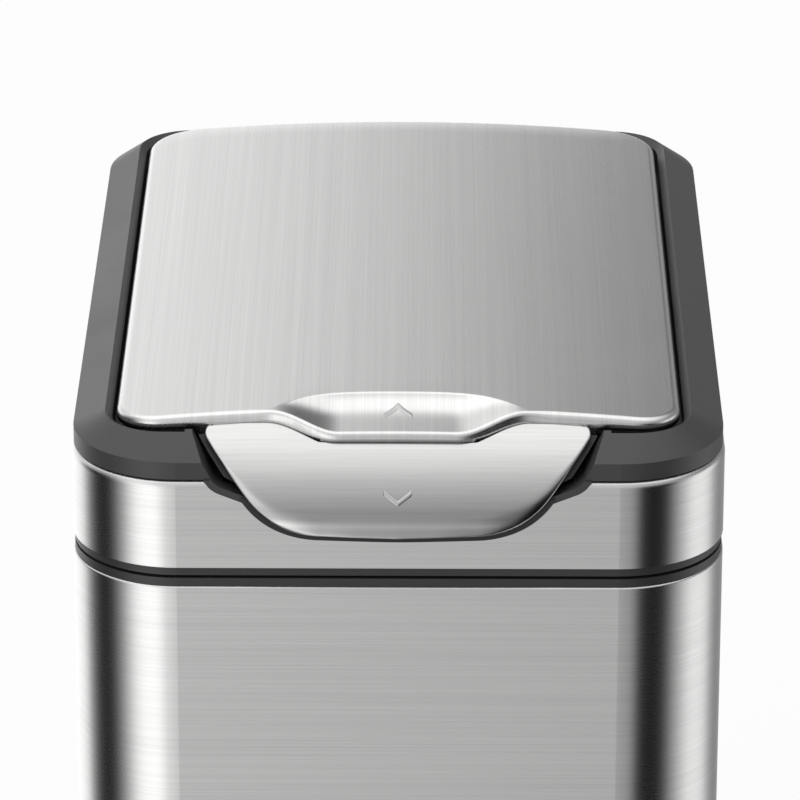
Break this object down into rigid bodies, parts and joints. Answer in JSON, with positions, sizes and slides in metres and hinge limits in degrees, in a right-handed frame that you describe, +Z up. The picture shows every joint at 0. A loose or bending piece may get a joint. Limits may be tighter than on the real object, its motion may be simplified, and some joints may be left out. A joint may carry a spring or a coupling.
{
  "type": "push top countertop bin",
  "caption": "Rectangular countertop bin: brushed steel body, lift-off head whose front push lever releases a sprung, hinged lid, and a removable inner bucket with a wire bail.",
  "frame": {"origin": "on the counter, under the middle of the steel body's plan", "axes": "+X to the right, +Y to the rear, +Z up; the push lever is at the front, towards -Y"},
  "size_m": [0.2, 0.2978, 0.2679],
  "materials": {
    "body_steel": "brushed across the front, fine horizontal grain",
    "lid_steel": "brushed front to back",
    "lever_steel": "brushed side to side",
    "rim_plastic": "satin dark grey",
    "strip_plastic": "satin dark grey",
    "black_plastic": "fine matte black",
    "bucket_plastic": "smooth mid grey, slightly glossy",
    "foot_rubber": "matte",
    "soft_rubber": "matte",
    "bright_wire": "bright drawn wire",
    "screw_steel": "zinc plated",
    "spring_steel": "plain spring steel"
  },
  "bodies": {
    "body": {"foot_ring": "foot_rubber", "base_tray": "black_plastic", "body_shell": "body_steel", "body_top_ring": "strip_plastic"},
    "bucket": {"inner_bucket": "bucket_plastic"},
    "bail": {"bucket_bail": "bright_wire"},
    "head": {"head_band": "body_steel", "head_lower_ring": "strip_plastic", "head_frame": "rim_plastic", "mouth_collar": "black_plastic", "head_screws": "screw_steel", "hinge_pins": "screw_steel", "hinge_springs": "spring_steel", "damper_housing": "black_plastic", "lid_bumpers": "soft_rubber", "latch_spring": "spring_steel", "latch_screws": "screw_steel", "lever_pin": "screw_steel"},
    "lid": {"lid_panel": "lid_steel", "lid_liner": "black_plastic", "lid_seal": "soft_rubber", "lid_striker": "spring_steel", "striker_screws": "screw_steel", "damper_shaft": "screw_steel"},
    "lever": {"lever_skin": "lever_steel", "lever_carrier": "black_plastic"}
  },
  "joints": [
    {"name": "head_lift", "type": "slide", "parent": "body", "child": "head", "axis": [0, 0, 1], "range_m": [0, 0.6]},
    {"name": "bucket_lift", "type": "slide", "parent": "body", "child": "bucket", "axis": [0, 0, 1], "range_m": [0, 0.22]},
    {"name": "bail_hinge", "type": "hinge", "parent": "bucket", "child": "bail", "pos_m": [0, 0, 0.2133], "axis": [1, 0, 0], "range_deg": [0, 92]},
    {"name": "lid_hinge", "type": "hinge", "parent": "head", "child": "lid", "pos_m": [0, 0.122, 0.2615], "axis": [-1, 0, 0], "range_deg": [0, 80], "deforming": ["hinge_springs"]},
    {"name": "lever_hinge", "type": "hinge", "parent": "head", "child": "lever", "pos_m": [0, -0.126, 0.246], "axis": [1, 0, 0], "range_deg": [0, 7], "stiffness_Nm_per_rad": 0.3, "springref_deg": -5.73, "deforming": ["latch_spring"]}
  ],
  "couplings": [
    {"joint": "bucket_lift", "follows": "head_lift", "ratio": 0.36},
    {"joint": "bail_hinge", "follows": "head_lift", "rad_per_m": 2.6}
  ]
}
